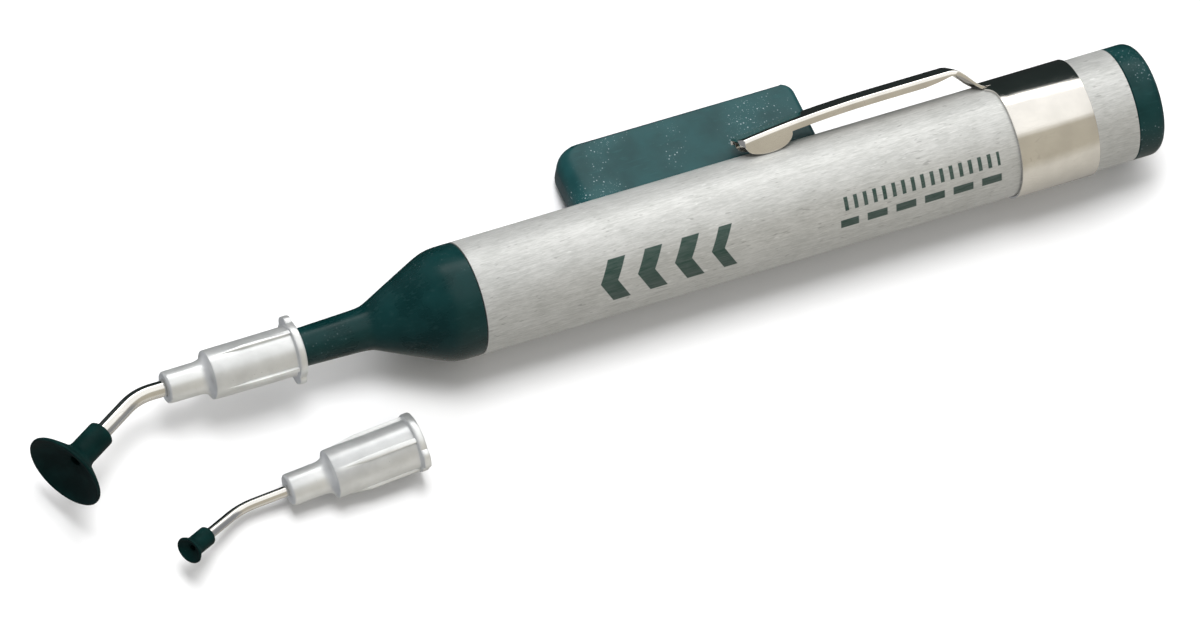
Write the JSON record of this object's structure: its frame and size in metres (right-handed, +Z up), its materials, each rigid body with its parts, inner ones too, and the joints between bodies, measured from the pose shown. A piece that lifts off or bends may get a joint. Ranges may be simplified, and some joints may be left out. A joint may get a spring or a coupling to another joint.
{
  "type": "vacuum pick-up pen",
  "caption": "Hand vacuum pick-up pen: metal barrel with press button, spring clip, tapered nose and bent probe with a rubber suction cup, with a loose spare probe and small cup beside it.",
  "frame": {"origin": "middle of the base of the box round the whole set, on the bench", "axes": "+X along the pen from the suction cup to the end cap, +Y towards the side the press button points to, +Z up"},
  "size_m": [0.1336, 0.032, 0.0133],
  "materials": {
    "barrel_metal": "lightly brushed, satin",
    "black_plastic": "smooth, semi-matte, green-black",
    "clip_steel": "polished spring steel",
    "hub_metal": "satin",
    "tube_steel": "polished drawn tube",
    "cup_rubber": "matte black",
    "bulb_rubber": "matte",
    "clamp_brass": "pressed ring"
  },
  "bodies": {
    "pen": {"barrel": "barrel_metal", "nose_cone": "black_plastic", "end_cap": "black_plastic", "squeeze_bulb": "bulb_rubber", "bulb_clamp": "clamp_brass"},
    "button": {"vacuum_button": "black_plastic"},
    "clip": {"clip_band": "clip_steel"},
    "clip_spring": {"clip_arm": "clip_steel"},
    "fitted_probe": {"fitted_hub": "hub_metal", "fitted_tube": "tube_steel"},
    "fitted_suction_cup": {"fitted_cup": "cup_rubber"},
    "spare_probe": {"spare_hub": "hub_metal", "spare_tube": "tube_steel"},
    "spare_suction_cup": {"spare_cup": "cup_rubber"}
  },
  "joints": [
    {"name": "button_press", "type": "slide", "parent": "pen", "child": "button", "axis": [0, -0.9325, 0.3611], "range_m": [0, 0.004], "stiffness_N_per_m": 700, "deforming": ["squeeze_bulb"]},
    {"name": "clip_swivel", "type": "hinge", "parent": "pen", "child": "clip", "pos_m": [0.04855, 0.00299, 0.00665], "axis": [1, 0, 0], "range_deg": [-2, 276]},
    {"name": "clip_flex", "type": "hinge", "parent": "clip", "child": "clip_spring", "pos_m": [0.04855, 0.00917, 0.00876], "axis": [0, 0.3228, -0.9465], "range_deg": [0, 8], "stiffness_Nm_per_rad": 0.4},
    {"name": "probe_swivel", "type": "hinge", "parent": "pen", "child": "fitted_probe", "pos_m": [-0.03475, 0.00299, 0.00665], "axis": [1, 0, 0], "continuous": true},
    {"name": "fitted_cup_pull", "type": "slide", "parent": "fitted_probe", "child": "fitted_suction_cup", "axis": [-0.866, -0.4777, 0.1476], "range_m": [0, 0.0022]},
    {"name": "spare_lift", "type": "slide", "parent": "pen", "child": "spare_probe", "axis": [0, 0, 1], "range_m": [0, 0.03]},
    {"name": "spare_cup_pull", "type": "slide", "parent": "spare_probe", "child": "spare_suction_cup", "axis": [-0.8717, -0.3576, 0.335], "range_m": [0, 0.0022]}
  ]
}
